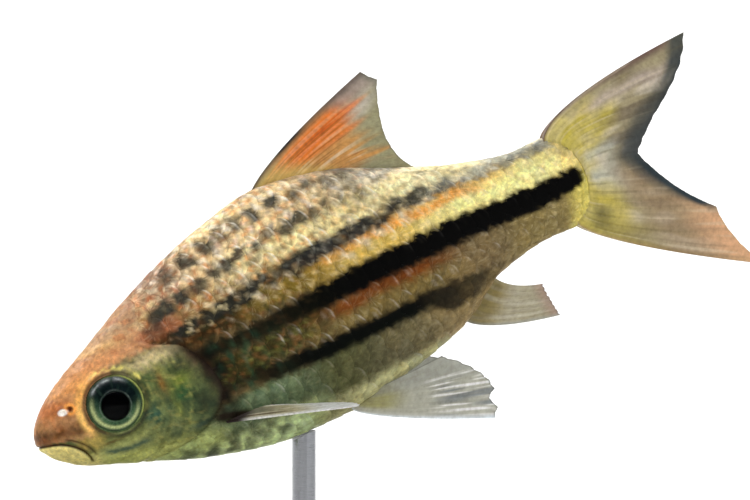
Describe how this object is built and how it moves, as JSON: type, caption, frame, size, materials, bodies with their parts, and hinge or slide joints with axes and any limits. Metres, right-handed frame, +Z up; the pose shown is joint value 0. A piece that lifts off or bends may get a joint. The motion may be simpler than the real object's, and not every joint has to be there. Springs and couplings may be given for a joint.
{
  "type": "lined barb fish model on a display stand",
  "caption": "Life-size model of a small striped freshwater fish, swimming nose down, held over a flat base by one short rod.",
  "frame": {"origin": "middle of the underside of the stand's base, under its rod", "axes": "+Z up, +X from the fish's snout towards its tail along the base, +Y to the fish's right"},
  "size_m": [0.1071, 0.046, 0.0788],
  "materials": {
    "head_skin": "moist skin, rust orange on the snout and green on the cheek",
    "body_skin": "small glossy scales, golden with black lengthwise stripes",
    "eye": "wet, dark iris round a black pupil",
    "dorsal_fin": "thin membrane on rays, orange in front and grey behind",
    "caudal_fin": "thin membrane on rays, yellow at the root and dark at the rear edge",
    "clear_fin": "thin whitish membrane on rays",
    "stand_base": "satin black",
    "stand_rod": "satin"
  },
  "bodies": {
    "root": {"head": "head_skin", "torso": "body_skin", "tail": "body_skin", "eye_left": "eye", "eye_right": "eye", "dorsal_fin": "dorsal_fin", "anal_fin": "clear_fin", "caudal_fin": "caudal_fin", "pectoral_fin_left": "clear_fin", "pectoral_fin_right": "clear_fin", "pelvic_fin_left": "clear_fin", "pelvic_fin_right": "clear_fin", "stand_base": "stand_base", "stand_rod": "stand_rod"}
  },
  "joints": []
}
